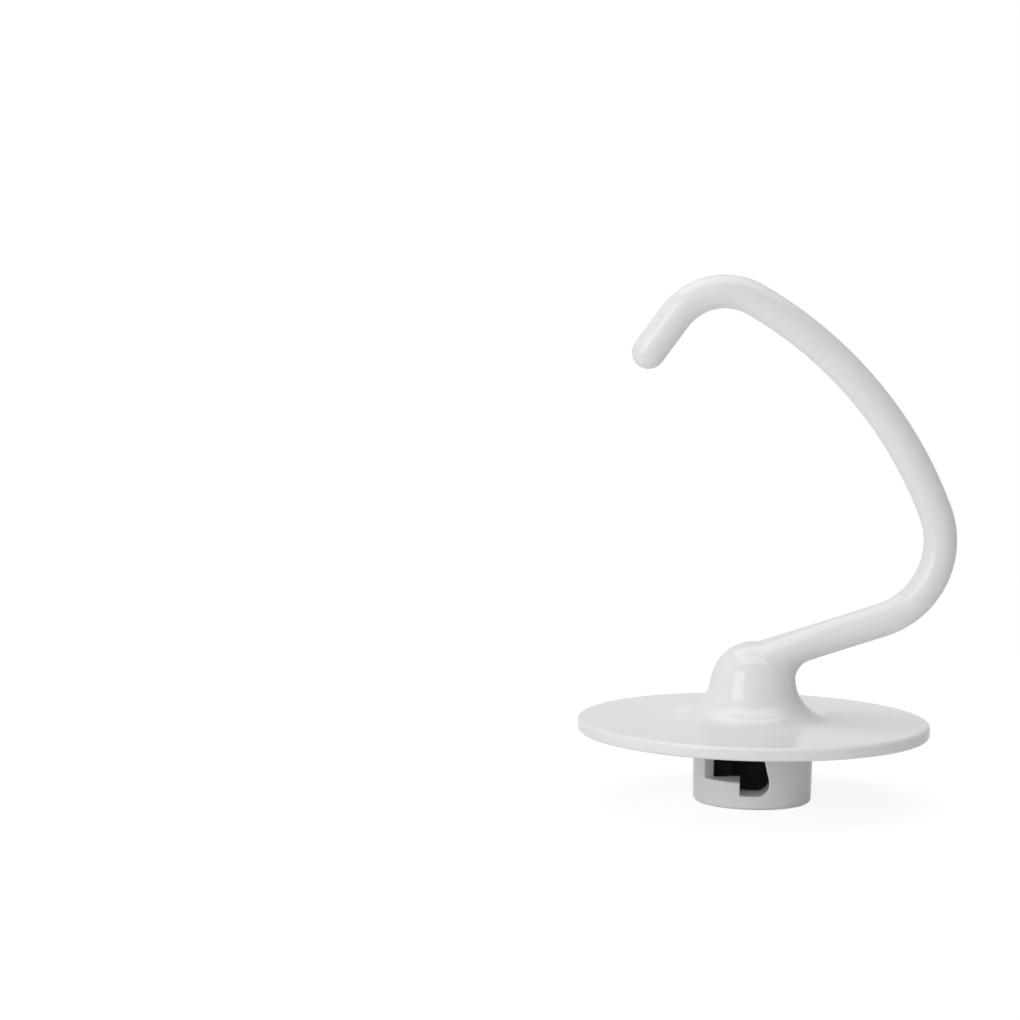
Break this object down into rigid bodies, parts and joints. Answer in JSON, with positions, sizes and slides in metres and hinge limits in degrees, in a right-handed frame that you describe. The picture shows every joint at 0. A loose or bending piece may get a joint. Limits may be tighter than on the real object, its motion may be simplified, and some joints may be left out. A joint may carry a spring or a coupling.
{
  "type": "stand mixer dough hook",
  "caption": "White coated cast dough hook: collar with shaft bore and bayonet slot, round dough-guard disc, domed neck and a bent round arm that curls back over the disc.",
  "frame": {"origin": "on the axis of the shaft bore, in the plane of the collar's end face that the hook stands on", "axes": "+Z along the bore from the collar's end to the hook's top, +X towards the side the arm leaves the neck, the arm in the XZ plane, pin slot on the -Y side"},
  "size_m": [0.1148, 0.108, 0.1613],
  "materials": {
    "white_coat": "smooth semi-gloss white coating on cast aluminium"
  },
  "bodies": {
    "root": {"dough_hook": "white_coat"}
  },
  "joints": []
}
